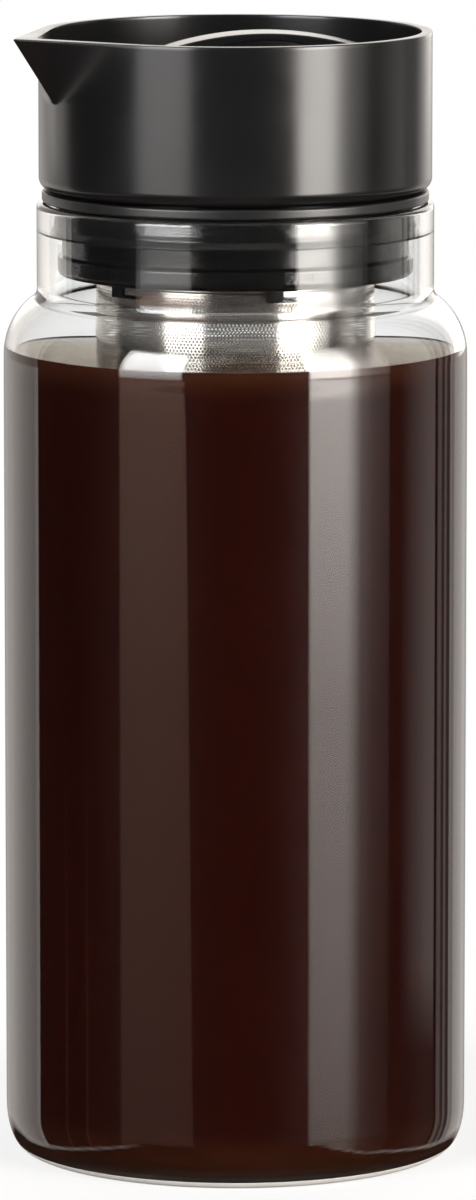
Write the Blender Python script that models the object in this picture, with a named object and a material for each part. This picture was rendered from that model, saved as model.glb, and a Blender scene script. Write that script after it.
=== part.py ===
"""Cold brew coffee maker: a glass carafe, a pouring stopper and a perforated steel filter.

Metres, +Z up. The origin is the middle of the carafe's foot, and the spout points along -X.
Heights are measured from the surface that the carafe stands on.
"""

import math

import bmesh
import bpy

# Glass carafe
body_radius = 0.0520
body_wall = 0.0025
base_thickness = 0.0030
foot_inset = 0.0050
foot_rise = 0.0110
foot_power = 2.2
inner_corner = 0.0080
shoulder_height = 0.1810
shoulder_radius = 0.0155
shoulder_fillet = 0.0025
shoulder_step = 0.0075
neck_wall = 0.0029
neck_rise = 0.0341
glass_round = 0.0012

# Clearances
seat_gap = 0.0003
turning_gap = 0.0003
cut_overrun = 0.0010

# Rim gasket, the ring between the glass and the collar
gasket_inset = 0.0012
gasket_thickness = 0.0023
gasket_bead = 0.0009

# Pouring collar
collar_inset = 0.0005
collar_wall = 0.0024
collar_height = 0.0354
collar_floor = 0.0024
collar_foot_round = 0.0040
spout_reach = 0.0099
spout_drop = 0.0151
spout_channel_reach = 0.0071
spout_channel_drop = 0.0130
spout_angle = 180.0

# Stopper core, an upturned cup whose floor has the pouring windows
core_gap = 0.0028
core_wall = 0.0018
core_web = 0.0018
core_depth = 0.0141
window_rim = 0.0062
window_depth = 0.0140
window_width = 56.0
core_window_angles = (0.0, 180.0)

# Stopper seal, a silicone sleeve with one wiping lip
seal_wall = 0.0015
seal_top_gap = 0.0010
seal_band = 0.0050
lip_drop = 0.0014
lip_thickness = 0.0009

# Shutter gasket, shutter cap and the pin that they turn on
shutter_gasket_inset = 0.0017
shutter_gasket_thickness = 0.0010
cap_gap = 0.0024
cap_thickness = 0.0026
cap_edge_round = 0.0008
cap_window_angles = (69.0, 249.0)
pin_radius = 0.0030
pin_head_radius = 0.0062
pin_head_height = 0.0022
pin_barb_radius = 0.0045
pin_barb_height = 0.0016

# Arched grip on the cap
grip_angle = -21.0
grip_offset = 0.0065
grip_end_inset = 0.0057
grip_width = 0.0112
grip_thickness = 0.0016
grip_top_radius = 0.0740
grip_gap_radius = 0.0370
grip_corner_radius = 0.0060
grip_leg = 0.0032
grip_below_rim = 0.0003
grip_edge_round = 0.0004

# Filter carrier, the lower ring of the stopper
carrier_gap = 0.0018
carrier_height = 0.0043
carrier_foot_round = 0.0014
carrier_spigot_wall = 0.0018
carrier_spigot_height = 0.0042
carrier_web = 0.0020
carrier_recess = 0.0015
flow_slot_width = 0.0020
flow_slot_margin = 0.0004
flow_slot_spans = ((141.4, 74.0), (231.4, 30.0), (321.4, 74.0), (51.4, 30.0))

# Bayonet hooks below the carrier, and the filter's lugs in them
hook_angles = (199.7, 263.1, 19.7, 83.1)
hook_drop = 0.0031
hook_ledge = 0.0006
hook_post = 0.0032
hook_slot = 0.0038
hook_depth = 0.0026
lug_length = 0.0032
lug_height = 0.0020
lug_reach = 0.0024
lug_sheet = 0.0005

# Filter
filter_inset = 0.0086
filter_sheet = 0.0004
filter_floor_gap = 0.0250
filter_seal_height = 0.0013
filter_seal_width = 0.0022
filter_rim_flange = 0.0010
filter_rim_skirt = 0.0040
filter_rim_sheet = 0.0008
filter_foot_skirt = 0.0050
filter_foot_sheet = 0.0006
filter_foot_round = 0.0020

# Fineness of the turned surfaces
wide_steps = 48
narrow_steps = 40
pin_steps = 20

# Radii that follow from the body, the neck and what fits in it
neck_radius = body_radius - shoulder_step
neck_bore = neck_radius - neck_wall
gasket_radius = neck_radius - gasket_inset
collar_radius = neck_radius - collar_inset
collar_bore = collar_radius - collar_wall
core_radius = neck_bore - core_gap
core_bore = core_radius - core_wall
seal_radius = core_radius + seat_gap + seal_wall
cap_radius = collar_bore - cap_gap
shutter_gasket_radius = cap_radius - shutter_gasket_inset
window_outer_radius = cap_radius - window_rim
window_inner_radius = window_outer_radius - window_depth
grip_half_span = cap_radius - grip_offset - grip_end_inset
carrier_radius = neck_bore - carrier_gap
spigot_radius = core_bore - seat_gap
spigot_bore = spigot_radius - carrier_spigot_wall
filter_radius = carrier_radius - filter_inset
lug_inner_radius = filter_radius + seat_gap
hook_inner_radius = lug_inner_radius + turning_gap
pin_bore = pin_radius + turning_gap

# Heights that follow from the stack of pieces
glass_height = shoulder_height + neck_rise
gasket_bottom = glass_height + seat_gap
gasket_top = gasket_bottom + gasket_thickness
collar_bottom = gasket_top + seat_gap
collar_top = collar_bottom + collar_height
web_bottom = collar_bottom + collar_floor + seat_gap
web_top = web_bottom + core_web
core_bottom = collar_bottom - core_depth
shutter_gasket_bottom = web_top + seat_gap
shutter_gasket_top = shutter_gasket_bottom + shutter_gasket_thickness
cap_bottom = shutter_gasket_top + seat_gap
cap_top = cap_bottom + cap_thickness
carrier_top = core_bottom - seat_gap
carrier_bottom = carrier_top - carrier_height
recess_top = carrier_bottom + carrier_recess
filter_seal_top = recess_top - seat_gap
filter_seal_bottom = filter_seal_top - filter_seal_height
filter_rim_top = filter_seal_bottom - seat_gap
filter_tube_top = filter_rim_top - filter_rim_flange - seat_gap
filter_tube_bottom = base_thickness + filter_floor_gap + filter_foot_sheet + seat_gap


def clear_scene():
    for old in list(bpy.data.objects):
        bpy.data.objects.remove(old)


def finish_material(name, colour, roughness, metallic=0.0, transmission=0.0, ior=1.5):
    made = bpy.data.materials.new(name)
    made.use_nodes = True
    shader = made.node_tree.nodes["Principled BSDF"]
    shader.inputs["Base Color"].default_value = (*colour, 1.0)
    shader.inputs["Roughness"].default_value = roughness
    shader.inputs["Metallic"].default_value = metallic
    shader.inputs["Transmission Weight"].default_value = transmission
    shader.inputs["IOR"].default_value = ior
    made.diffuse_color = (*colour, 1.0)
    return made


def empty(name, height, parent=None):
    """The axis of a moving group, upright through the middle of the carafe."""
    axis = bpy.data.objects.new(name, None)
    axis.location.z = height
    axis.parent = parent
    if parent is not None:
        axis.location.z = height - parent.matrix_world.translation.z
    bpy.context.collection.objects.link(axis)
    bpy.context.view_layer.update()
    return axis


def add_object(name, mesh, material, parent):
    """Link a mesh that is written in world heights, hung under its axis."""
    mesh.materials.append(material)
    thing = bpy.data.objects.new(name, mesh)
    bpy.context.collection.objects.link(thing)
    if parent is not None:
        thing.parent = parent
        thing.matrix_parent_inverse = parent.matrix_world.inverted()
    return thing


def mesh_from(name, built):
    bmesh.ops.recalc_face_normals(built, faces=built.faces)
    mesh = bpy.data.meshes.new(name)
    built.to_mesh(mesh)
    built.free()
    mesh.shade_smooth()
    mesh.set_sharp_from_angle(angle=math.radians(30.0))
    return mesh


def arc(middle, radius, start, end, count):
    """Points of an arc in the (radius, height) plane, in degrees anticlockwise from outward."""
    points = []
    for index in range(count + 1):
        turn = math.radians(start + (end - start) * index / count)
        points.append((middle[0] + radius * math.cos(turn), middle[1] + radius * math.sin(turn)))
    return points


def ring_outline(outer, inner, top, bottom):
    return [(outer, top), (outer, bottom), (inner, bottom), (inner, top)]


def turned(name, outline, steps, material, parent=None):
    """Turn an outline about Z: closed where it stays off the axis, open where it ends on it."""
    on_axis = outline[0][0] == 0.0 and outline[-1][0] == 0.0
    mesh = bpy.data.meshes.new(name)
    edges = [(index, index + 1) for index in range(len(outline) - 1)]
    if not on_axis:
        edges.append((len(outline) - 1, 0))
    mesh.from_pydata([(radius, 0.0, height) for radius, height in outline], edges, [])
    thing = add_object(name, mesh, material, parent)
    screw = thing.modifiers.new("turn", "SCREW")
    screw.axis = "Z"
    screw.angle = math.tau
    screw.steps = steps
    screw.render_steps = steps
    screw.use_merge_vertices = True
    screw.merge_threshold = 0.00001
    screw.use_smooth_shade = True
    return thing


def add_sector(built, inner, outer, bottom, top, middle_angle, width_angle, count):
    """One closed block between two radii, over a span of degrees."""
    rims = []
    for height in (bottom, top):
        for radius in (inner, outer):
            row = []
            for index in range(count + 1):
                turn = math.radians(middle_angle - width_angle / 2 + width_angle * index / count)
                spot = (radius * math.cos(turn), radius * math.sin(turn), height)
                row.append(built.verts.new(spot))
            rims.append(row)
    low_in, low_out, high_in, high_out = rims
    for index in range(count):
        after = index + 1
        built.faces.new((low_in[index], low_in[after], low_out[after], low_out[index]))
        built.faces.new((high_in[index], high_out[index], high_out[after], high_in[after]))
        built.faces.new((low_in[index], high_in[index], high_in[after], low_in[after]))
        built.faces.new((low_out[index], low_out[after], high_out[after], high_out[index]))
    for index in (0, count):
        built.faces.new((low_in[index], low_out[index], high_out[index], high_in[index]))


def add_swept(built, profile, middle_angle, width_angle, count):
    """One closed block: an outline in (radius, height) swept over a span of degrees."""
    rows = []
    for index in range(count + 1):
        turn = math.radians(middle_angle - width_angle / 2 + width_angle * index / count)
        spots = [(radius * math.cos(turn), radius * math.sin(turn), height) for radius, height in profile]
        rows.append([built.verts.new(spot) for spot in spots])
    for row, after in zip(rows, rows[1:]):
        for index in range(len(profile)):
            beside = (index + 1) % len(profile)
            built.faces.new((row[index], after[index], after[beside], row[beside]))
    built.faces.new(rows[0])
    built.faces.new(rows[-1])


def guide_from(name, built):
    """A shape that only cuts or joins others."""
    mesh = mesh_from(name, built)
    guide = bpy.data.objects.new(name, mesh)
    guide.hide_render = True
    guide.display_type = "WIRE"
    bpy.context.collection.objects.link(guide)
    return guide


def apply_boolean(thing, guide, operation):
    change = thing.modifiers.new(guide.name, "BOOLEAN")
    change.object = guide
    change.operation = operation
    change.solver = "EXACT"


def cut_windows(thing, angles, bottom, top):
    """Pouring windows through a flat disc of the shutter."""
    built = bmesh.new()
    for angle in angles:
        add_sector(
            built,
            window_inner_radius,
            window_outer_radius,
            bottom - cut_overrun,
            top + cut_overrun,
            angle,
            window_width,
            8,
        )
    apply_boolean(thing, guide_from(thing.name + "_windows", built), "DIFFERENCE")


def cut_bore(thing, radius, bottom, top):
    built = bmesh.new()
    bmesh.ops.create_cone(
        built,
        cap_ends=True,
        segments=pin_steps,
        radius1=radius,
        radius2=radius,
        depth=top - bottom + 2 * cut_overrun,
    )
    bmesh.ops.translate(built, vec=(0.0, 0.0, (top + bottom) / 2), verts=built.verts)
    apply_boolean(thing, guide_from(thing.name + "_bore", built), "DIFFERENCE")


def shoulder_arcs(neck, body_fillet, outer_radius):
    """Neck fillet and shoulder round, meeting tangentially, from the neck down to the wall."""
    middle = (body_radius - shoulder_radius, shoulder_height)
    fillet_out = neck + body_fillet
    reach = outer_radius + body_fillet
    rise = math.sqrt(reach**2 - (fillet_out - middle[0]) ** 2)
    fillet_middle = (fillet_out, middle[1] + rise)
    turn = math.degrees(math.atan2(rise, fillet_out - middle[0]))
    points = arc(fillet_middle, body_fillet, 180.0, 180.0 + turn, 4)
    return points + arc(middle, outer_radius, turn, 0.0, 6)[1:]


def foot_curve(count=6):
    """The wall easing into the flat foot, flatter at its ends than a round."""
    points = []
    for index in range(count + 1):
        turn = math.pi / 2 * index / count
        inward = math.cos(turn) ** (2 / foot_power)
        down = math.sin(turn) ** (2 / foot_power)
        points.append((body_radius - foot_inset * (1 - inward), foot_rise * (1 - down)))
    points[-1] = (body_radius - foot_inset, 0.0)
    return points


def build_carafe(glass):
    inner_radius = body_radius - body_wall
    inner_round = shoulder_radius - body_wall
    inner_fillet = shoulder_fillet + neck_wall
    floor_corner = (inner_radius - inner_corner, base_thickness + inner_corner)
    outline = [(0.0, base_thickness)]
    outline += arc(floor_corner, inner_corner, -90.0, 0.0, 4)
    outline += shoulder_arcs(neck_bore, inner_fillet, inner_round)[::-1]
    outline += arc((neck_bore + glass_round, glass_height - glass_round), glass_round, 180.0, 90.0, 3)
    outline += arc((neck_radius - glass_round, glass_height - glass_round), glass_round, 90.0, 0.0, 3)
    outline += shoulder_arcs(neck_radius, shoulder_fillet, shoulder_radius)
    outline += foot_curve()
    outline.append((0.0, 0.0))
    return turned("glass_carafe", outline, wide_steps, glass)


def build_rim_gasket(rubber, parent):
    inner = core_radius + seat_gap
    outline = arc((gasket_radius - gasket_bead, gasket_top - gasket_bead), gasket_bead, 90.0, 0.0, 3)
    outline += arc((gasket_radius - gasket_bead, gasket_bottom + gasket_bead), gasket_bead, 0.0, -90.0, 3)
    outline += [(inner, gasket_bottom), (inner, gasket_top)]
    return turned("rim_gasket", outline, narrow_steps, rubber, parent)


def spouted_ring(radius, reach, height):
    """A round of the given radius that runs out in straight lines to a point over the spout."""
    points = []
    tip = radius + reach
    half = math.acos(radius / tip)
    for index in range(wide_steps):
        turn = math.tau * index / wide_steps
        away = abs((turn - math.radians(spout_angle) + math.pi) % math.tau - math.pi)
        out = radius / math.cos(half - away) if away < half else radius
        points.append((out * math.cos(turn), out * math.sin(turn), height))
    return points


def build_collar(black, parent):
    """The open cup that the coffee leaves by, with its pointed spout."""
    rings = []
    levels = 5
    for index in range(levels + 1):
        share = index / levels
        rings.append(spouted_ring(collar_radius, spout_reach * (1 - share), collar_top - spout_drop * share))
    foot_middle = (collar_radius - collar_foot_round, collar_bottom + collar_foot_round)
    for out, height in arc(foot_middle, collar_foot_round, 0.0, -90.0, 4):
        rings.append(spouted_ring(out, 0.0, height))
    hole = core_radius + seat_gap
    rings.append(spouted_ring(hole, 0.0, collar_bottom))
    rings.append(spouted_ring(hole, 0.0, collar_bottom + collar_floor))
    rings.append(spouted_ring(collar_bore, 0.0, collar_bottom + collar_floor))
    for index in range(levels + 1):
        share = 1 - index / levels
        depth = spout_channel_drop * share
        rings.append(spouted_ring(collar_bore, spout_channel_reach * (1 - share), collar_top - depth))
    built = bmesh.new()
    rows = [[built.verts.new(point) for point in ring] for ring in rings]
    for row, after in zip(rows, rows[1:] + rows[:1]):
        for index in range(wide_steps):
            beside = (index + 1) % wide_steps
            built.faces.new((row[index], after[index], after[beside], row[beside]))
    return add_object("pour_collar", mesh_from("pour_collar", built), black, parent)


def build_core(black, parent):
    flange = collar_bore - seat_gap
    outline = [
        (0.0, web_bottom),
        (core_bore, web_bottom),
        (core_bore, core_bottom),
        (core_radius, core_bottom),
        (core_radius, web_bottom),
        (flange, web_bottom),
        (flange, web_top),
        (0.0, web_top),
    ]
    core = turned("stopper_core", outline[::-1], narrow_steps, black, parent)
    cut_windows(core, core_window_angles, web_bottom, web_top)
    cut_bore(core, pin_bore, web_bottom, web_top)
    return core


def build_stopper_seal(rubber, parent):
    """Sleeve round the core, with a thin lip that sweeps down to the neck's bore."""
    inner = core_radius + seat_gap
    reach = neck_bore - seat_gap
    top = gasket_bottom - seal_top_gap
    bottom = top - seal_band
    outline = [
        (seal_radius, top),
        (seal_radius, bottom + lip_thickness),
        (reach, bottom - lip_drop + lip_thickness),
        (reach, bottom - lip_drop),
        (seal_radius, bottom),
        (inner, bottom),
        (inner, top),
    ]
    return turned("stopper_seal", outline, narrow_steps, rubber, parent)


def build_shutter_gasket(rubber, parent):
    outline = [
        (0.0, shutter_gasket_top),
        (shutter_gasket_radius, shutter_gasket_top),
        (shutter_gasket_radius, shutter_gasket_bottom),
        (0.0, shutter_gasket_bottom),
    ]
    gasket = turned("shutter_gasket", outline, narrow_steps, rubber, parent)
    cut_windows(gasket, core_window_angles, shutter_gasket_bottom, shutter_gasket_top)
    cut_bore(gasket, pin_bore, shutter_gasket_bottom, shutter_gasket_top)
    return gasket


def build_cap(black, parent):
    edge = (cap_radius - cap_edge_round, cap_top - cap_edge_round)
    outline = [(0.0, cap_top)]
    outline += arc(edge, cap_edge_round, 90.0, 0.0, 2)
    outline += [(cap_radius, cap_bottom), (0.0, cap_bottom)]
    cap = turned("shutter_cap", outline, narrow_steps, black, parent)
    cut_windows(cap, cap_window_angles, cap_bottom, cap_top)
    cut_bore(cap, pin_bore, cap_bottom, cap_top)
    return cap


def build_pin(black, parent):
    """Snap pin: a low round head over the cap, and a barbed end under the core's floor."""
    head_bottom = cap_top + turning_gap
    head_top = head_bottom + pin_head_height
    barb_top = web_bottom - seat_gap
    outline = [(0.0, head_top), (pin_head_radius - pin_head_height, head_top)]
    outline += arc((pin_head_radius - pin_head_height, head_bottom), pin_head_height, 90.0, 0.0, 3)[1:]
    outline += [
        (pin_radius, head_bottom),
        (pin_radius, barb_top),
        (pin_barb_radius, barb_top),
        (pin_radius, barb_top - pin_barb_height),
        (0.0, barb_top - pin_barb_height),
    ]
    return turned("pivot_pin", outline, pin_steps, black, parent)


def bridge_curve(crown, sag_radius, half_span, corner, foot, count=10):
    """Half of an arch: a wide curve from its crown, a round corner, and a leg down to its foot."""
    sag = sag_radius - math.sqrt(sag_radius**2 - (half_span - corner) ** 2)
    points = []
    for index in range(count + 1):
        along = (half_span - corner) * index / count
        points.append((along, crown - sag_radius + math.sqrt(sag_radius**2 - along**2)))
    slope = math.degrees(math.asin((half_span - corner) / sag_radius))
    bend = arc((0.0, 0.0), corner, 90.0 - slope, 0.0, 4)
    shift = (half_span - corner, crown - sag - bend[0][1])
    points += [(shift[0] + out - bend[0][0], shift[1] + up) for out, up in bend[1:]]
    points.append((points[-1][0], foot))
    return points


def build_grip(black, parent):
    """The arched grip, an extruded outline that bridges the cap off its middle."""
    crown = collar_top - grip_below_rim
    foot = cap_top + seat_gap
    outer = bridge_curve(crown, grip_top_radius, grip_half_span, grip_corner_radius, foot)
    inner_span = grip_half_span - grip_leg
    inner = bridge_curve(crown - grip_thickness, grip_gap_radius, inner_span, grip_corner_radius, foot)
    outline = [(-out, up) for out, up in outer[::-1]] + outer[1:]
    outline += inner[::-1] + [(-out, up) for out, up in inner[1:]]
    turn = math.radians(grip_angle)
    built = bmesh.new()
    for side in (-grip_width / 2, grip_width / 2):
        corners = []
        for along, up in outline:
            out = along + grip_offset
            spot = (
                out * math.cos(turn) - side * math.sin(turn),
                out * math.sin(turn) + side * math.cos(turn),
                up,
            )
            corners.append(built.verts.new(spot))
        built.faces.new(corners)
    built.verts.ensure_lookup_table()
    count = len(outline)
    for index in range(count):
        beside = (index + 1) % count
        built.faces.new(
            [built.verts[spot] for spot in (index, beside, count + beside, count + index)]
        )
    grip = add_object("cap_grip", mesh_from("cap_grip", built), black, parent)
    edges = grip.modifiers.new("edges", "BEVEL")
    edges.width = grip_edge_round
    edges.segments = 1
    edges.limit_method = "ANGLE"
    edges.angle_limit = math.radians(60.0)
    return grip


def build_carrier(black, parent):
    """Ring below the core: a spigot inside its bore, a floor over the filter, and four hooks."""
    recess_radius = hook_inner_radius
    spigot_top = carrier_top + carrier_spigot_height
    web_level = recess_top + carrier_web
    foot_middle = (carrier_radius - carrier_foot_round, carrier_bottom + carrier_foot_round)
    outline = [
        (0.0, web_level),
        (spigot_bore, web_level),
        (spigot_bore, spigot_top),
        (spigot_radius, spigot_top),
        (spigot_radius, carrier_top),
        (carrier_radius, carrier_top),
    ]
    outline += arc(foot_middle, carrier_foot_round, 0.0, -90.0, 3)
    outline += [(recess_radius, carrier_bottom), (recess_radius, recess_top), (0.0, recess_top)]
    carrier = turned("filter_carrier", outline, narrow_steps, black, parent)
    slots = bmesh.new()
    slot_outer = spigot_bore - flow_slot_margin
    slot_inner = slot_outer - flow_slot_width
    low = carrier_bottom - cut_overrun
    high = web_level + cut_overrun
    for angle, width in flow_slot_spans:
        add_sector(slots, slot_inner, slot_outer, low, high, angle, width, 8)
    apply_boolean(carrier, guide_from("carrier_slots", slots), "DIFFERENCE")
    middle_radius = hook_inner_radius + hook_depth / 2
    post_width = math.degrees(hook_post / middle_radius)
    slot_width = math.degrees(hook_slot / middle_radius)
    outer = hook_inner_radius + hook_depth
    low = carrier_bottom - hook_drop
    high = carrier_bottom + cut_overrun
    for number, angle in enumerate(hook_angles):
        post = bmesh.new()
        add_sector(post, hook_inner_radius, outer, low, high, angle - slot_width / 2, post_width, 2)
        apply_boolean(carrier, guide_from(f"hook_post_{number}", post), "UNION")
        ledge = bmesh.new()
        ledge_width = post_width + slot_width
        ledge_middle = angle - slot_width / 2 - post_width / 2 + ledge_width / 2
        add_sector(ledge, hook_inner_radius, outer, low, low + hook_ledge, ledge_middle, ledge_width, 4)
        apply_boolean(carrier, guide_from(f"hook_ledge_{number}", ledge), "UNION")
    return carrier


def build_filter_seal(rubber, parent):
    outer = lug_inner_radius
    outline = ring_outline(outer, outer - filter_seal_width, filter_seal_top, filter_seal_bottom)
    return turned("filter_seal", outline, narrow_steps, rubber, parent)


def build_filter_rim(steel, parent):
    """Pressed ring in the tube's mouth, its flange over the sheet's edge, with the four lugs."""
    skirt = filter_radius - filter_sheet - seat_gap
    bore = skirt - filter_rim_sheet
    flange_bottom = filter_rim_top - filter_rim_flange
    outline = [
        (lug_inner_radius, filter_rim_top),
        (lug_inner_radius, flange_bottom),
        (skirt, flange_bottom),
        (skirt, flange_bottom - filter_rim_skirt),
        (bore, flange_bottom - filter_rim_skirt),
        (bore, filter_rim_top),
    ]
    rim = turned("filter_rim", outline, narrow_steps, steel, parent)
    root = lug_inner_radius - filter_rim_flange
    bend = lug_inner_radius + lug_sheet / 2
    reach = lug_inner_radius + lug_reach
    lug_middle = lug_inner_radius + lug_reach / 2
    width = math.degrees(lug_length / lug_middle)
    post = math.degrees(hook_post / lug_middle)
    tab_bottom = filter_rim_top - lug_height
    profile = [
        (root, filter_rim_top),
        (reach, filter_rim_top),
        (reach, tab_bottom),
        (bend, tab_bottom),
        (bend, flange_bottom),
        (root, flange_bottom),
    ]
    lugs = bmesh.new()
    for hook_angle in hook_angles:
        add_swept(lugs, profile, hook_angle + post / 2, width, 2)
    apply_boolean(rim, guide_from("filter_lugs", lugs), "UNION")
    return rim


def build_filter_tube(steel, parent):
    inner = filter_radius - filter_sheet
    outline = ring_outline(filter_radius, inner, filter_tube_top, filter_tube_bottom)
    return turned("filter_tube", outline, narrow_steps, steel, parent)


def build_filter_foot(steel, parent):
    """Pressed cup that closes the lower end of the tube."""
    inner = filter_radius + seat_gap
    outer = inner + filter_foot_sheet
    floor_top = filter_tube_bottom - seat_gap
    floor_bottom = floor_top - filter_foot_sheet
    top = floor_top + filter_foot_skirt
    corner = (outer - filter_foot_round, floor_bottom + filter_foot_round)
    outline = [(0.0, floor_top), (inner, floor_top), (inner, top), (outer, top)]
    outline += arc(corner, filter_foot_round, 0.0, -90.0, 3)
    outline.append((0.0, floor_bottom))
    return turned("filter_foot", outline, narrow_steps, steel, parent)


def build():
    clear_scene()
    glass = finish_material("clear_glass", (0.95, 0.97, 0.97), 0.02, transmission=1.0, ior=1.47)
    satin = finish_material("satin_black_plastic", (0.018, 0.018, 0.019), 0.38)
    gloss = finish_material("black_plastic", (0.014, 0.014, 0.015), 0.28)
    rubber = finish_material("black_silicone", (0.02, 0.02, 0.021), 0.45)
    steel = finish_material("stainless_steel", (0.56, 0.55, 0.53), 0.28, metallic=1.0)

    lid_axis = empty("lid_axis", glass_height)
    cap_axis = empty("cap_axis", cap_bottom, lid_axis)
    filter_axis = empty("filter_axis", carrier_bottom, lid_axis)

    build_carafe(glass)
    build_rim_gasket(rubber.copy(), lid_axis)
    build_collar(satin, lid_axis)
    build_core(gloss, lid_axis)
    build_stopper_seal(rubber, lid_axis)
    build_shutter_gasket(rubber.copy(), lid_axis)
    build_pin(gloss.copy(), lid_axis)
    build_carrier(gloss.copy(), lid_axis)
    build_cap(satin.copy(), cap_axis)
    build_grip(satin.copy(), cap_axis)
    build_filter_seal(rubber.copy(), lid_axis)
    build_filter_rim(steel, filter_axis)
    build_filter_tube(steel.copy(), filter_axis)
    build_filter_foot(steel.copy(), filter_axis)


build()
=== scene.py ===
"""Cold brew coffee maker on a pale table: glass carafe with coffee, black pouring stopper, steel filter."""

import math

import bmesh
import bpy
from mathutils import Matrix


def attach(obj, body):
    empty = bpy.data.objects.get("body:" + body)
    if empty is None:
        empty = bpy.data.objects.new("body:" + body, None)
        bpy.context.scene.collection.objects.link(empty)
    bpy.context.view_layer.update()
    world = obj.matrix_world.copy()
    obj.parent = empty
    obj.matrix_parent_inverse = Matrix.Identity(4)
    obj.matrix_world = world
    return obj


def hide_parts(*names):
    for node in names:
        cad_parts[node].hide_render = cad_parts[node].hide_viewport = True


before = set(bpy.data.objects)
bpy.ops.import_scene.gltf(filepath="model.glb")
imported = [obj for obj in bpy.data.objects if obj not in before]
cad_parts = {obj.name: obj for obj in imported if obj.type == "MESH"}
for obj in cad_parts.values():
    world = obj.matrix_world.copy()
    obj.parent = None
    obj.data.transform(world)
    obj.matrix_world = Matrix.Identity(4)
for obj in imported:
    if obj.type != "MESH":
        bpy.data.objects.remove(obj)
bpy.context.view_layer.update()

# Sizes in metres, in the frame of the model: origin under the carafe, spout along -X

# Glass carafe
body_radius = 0.0520
body_wall = 0.0025
base_thickness = 0.0030
foot_inset = 0.0050
foot_rise = 0.0110
foot_power = 2.2
inner_corner = 0.0080
foot_ring_height = 0.0018
shoulder_height = 0.1810
shoulder_radius = 0.0155
shoulder_fillet = 0.0025
neck_radius = 0.0445
neck_wall = 0.0029
glass_height = 0.2151
glass_round = 0.0012
wall_row_height = 0.0005
wall_rows = 16
foot_ring_width = 0.0060
ease_bottom = 0.1725
ease_top = 0.1960
ease_depth = 0.000045

# Coffee
coffee_level = 0.1823
coffee_overlap = 0.00005
meniscus_rise = 0.0003
meniscus_width = 0.0012
meniscus_steps = 8
meniscus_power = 2.4
surface_slope = 3
height_margin = 1e-6

# Rim gasket
gasket_radius = 0.0433
gasket_bottom = 0.2154
gasket_top = 0.2177
gasket_bead = 0.0005

# Pouring collar
collar_radius = 0.0440
collar_bore = 0.0416
collar_bottom = 0.2180
collar_top = 0.2534
collar_floor = 0.0024
collar_floor_round = 0.0008
collar_foot_round = 0.0028
collar_rim_round = 0.0003
spout_reach = 0.0099
spout_drop = 0.0151
spout_channel_reach = 0.0071
spout_channel_drop = 0.0130
spout_tip_softness = 0.008
spout_crowding = 0.7
collar_support = 0.0002

# Stopper core and what turns on it
core_radius = 0.0388
core_bore = 0.0370
core_bottom = 0.2039
web_bottom = 0.2207
web_top = 0.2225
core_foot_round = 0.0004
core_inner_round = 0.0006
window_inner_radius = 0.0190
window_outer_radius = 0.0330
window_width = 56.0
core_window_angles = (0.0, 180.0)
shutter_gasket_radius = 0.0375
shutter_gasket_bottom = 0.2228
shutter_gasket_top = 0.2238
cap_radius = 0.0392
cap_bottom = 0.2241
cap_top = 0.2267
cap_edge_round = 0.0008
cap_bevel = 0.00025
cap_window_angles = (69.0, 249.0)
pin_radius = 0.0030
pin_bore = 0.0033
pin_head_radius = 0.0062
pin_head_bottom = 0.2270
pin_head_top = 0.2292
pin_barb_radius = 0.0045
pin_barb_top = 0.2204
pin_barb_bottom = 0.2188

# Stopper seal
seal_radius = 0.0406
seal_bore = 0.0391
seal_top = 0.2144
seal_bottom = 0.2094
seal_taper = 0.0005
seal_taper_height = 0.0030
lip_thickness = 0.0009
lip_drop = 0.0014
lip_edge = 0.0003
lip_overlap = 0.00003
lip_round = 0.0005
taper_round = 0.0012

# Arched grip
grip_angle = -21.0
grip_offset = 0.0065
grip_half_span = 0.0270
grip_width = 0.0112
grip_thickness = 0.0016
grip_top_radius = 0.0740
grip_gap_radius = 0.0370
grip_corner_radius = 0.0060
grip_leg = 0.0032
grip_crown = 0.2531
grip_foot = 0.2270
grip_edge_round = 0.0004

# Filter carrier
carrier_radius = 0.0398
carrier_bottom = 0.1993
carrier_top = 0.2036
carrier_foot_round = 0.0014
spigot_radius = 0.0367
spigot_bore = 0.0349
spigot_top = 0.2078
recess_radius = 0.0318
recess_top = 0.2008
carrier_web_top = 0.2028
flow_slot_inner = 0.0325
flow_slot_outer = 0.0345
flow_slot_spans = ((141.4, 74.0), (231.4, 30.0), (321.4, 74.0), (51.4, 30.0))
hook_angles = (199.7, 263.1, 19.7, 83.1)
hook_drop = 0.0031
hook_ledge = 0.0006
hook_post = 0.0032
hook_slot = 0.0038
hook_depth = 0.0026
hook_sunk = 0.0004
ledge_inset = 0.00001

# Filter
filter_radius = 0.0312
filter_sheet = 0.0004
filter_tube_top = 0.1976
filter_tube_bottom = 0.0289
filter_seal_top = 0.2005
filter_seal_bottom = 0.1992
filter_seal_bore = 0.0293
rim_top = 0.1989
rim_flange_bottom = 0.1979
rim_flange_radius = 0.0315
rim_skirt_radius = 0.0305
rim_skirt_bottom = 0.1939
rim_bore = 0.0297
lug_length = 0.0032
lug_height = 0.0020
lug_reach = 0.0024
lug_sheet = 0.0005
lug_root = 0.0008
lug_inset = 0.0001
foot_inner = 0.0315
foot_outer = 0.0321
foot_top = 0.0336
foot_floor_top = 0.0286
foot_bottom = 0.0280
foot_round = 0.0020
foot_floor_round = 0.0012
hole_pitch = 0.00084
hole_radius = 0.00030
plain_below_top = 0.0008
plain_above_foot = 0.0061
plain_softness = 0.0001

# Shared by several pieces
fit_gap = 0.0003
tiny_round = 0.0001
small_round = 0.0002
edge_round = 0.0003
soft_round = 0.0004
overrun = 0.0010
# The share of a side that one round may take up
round_limit = 0.49

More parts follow.
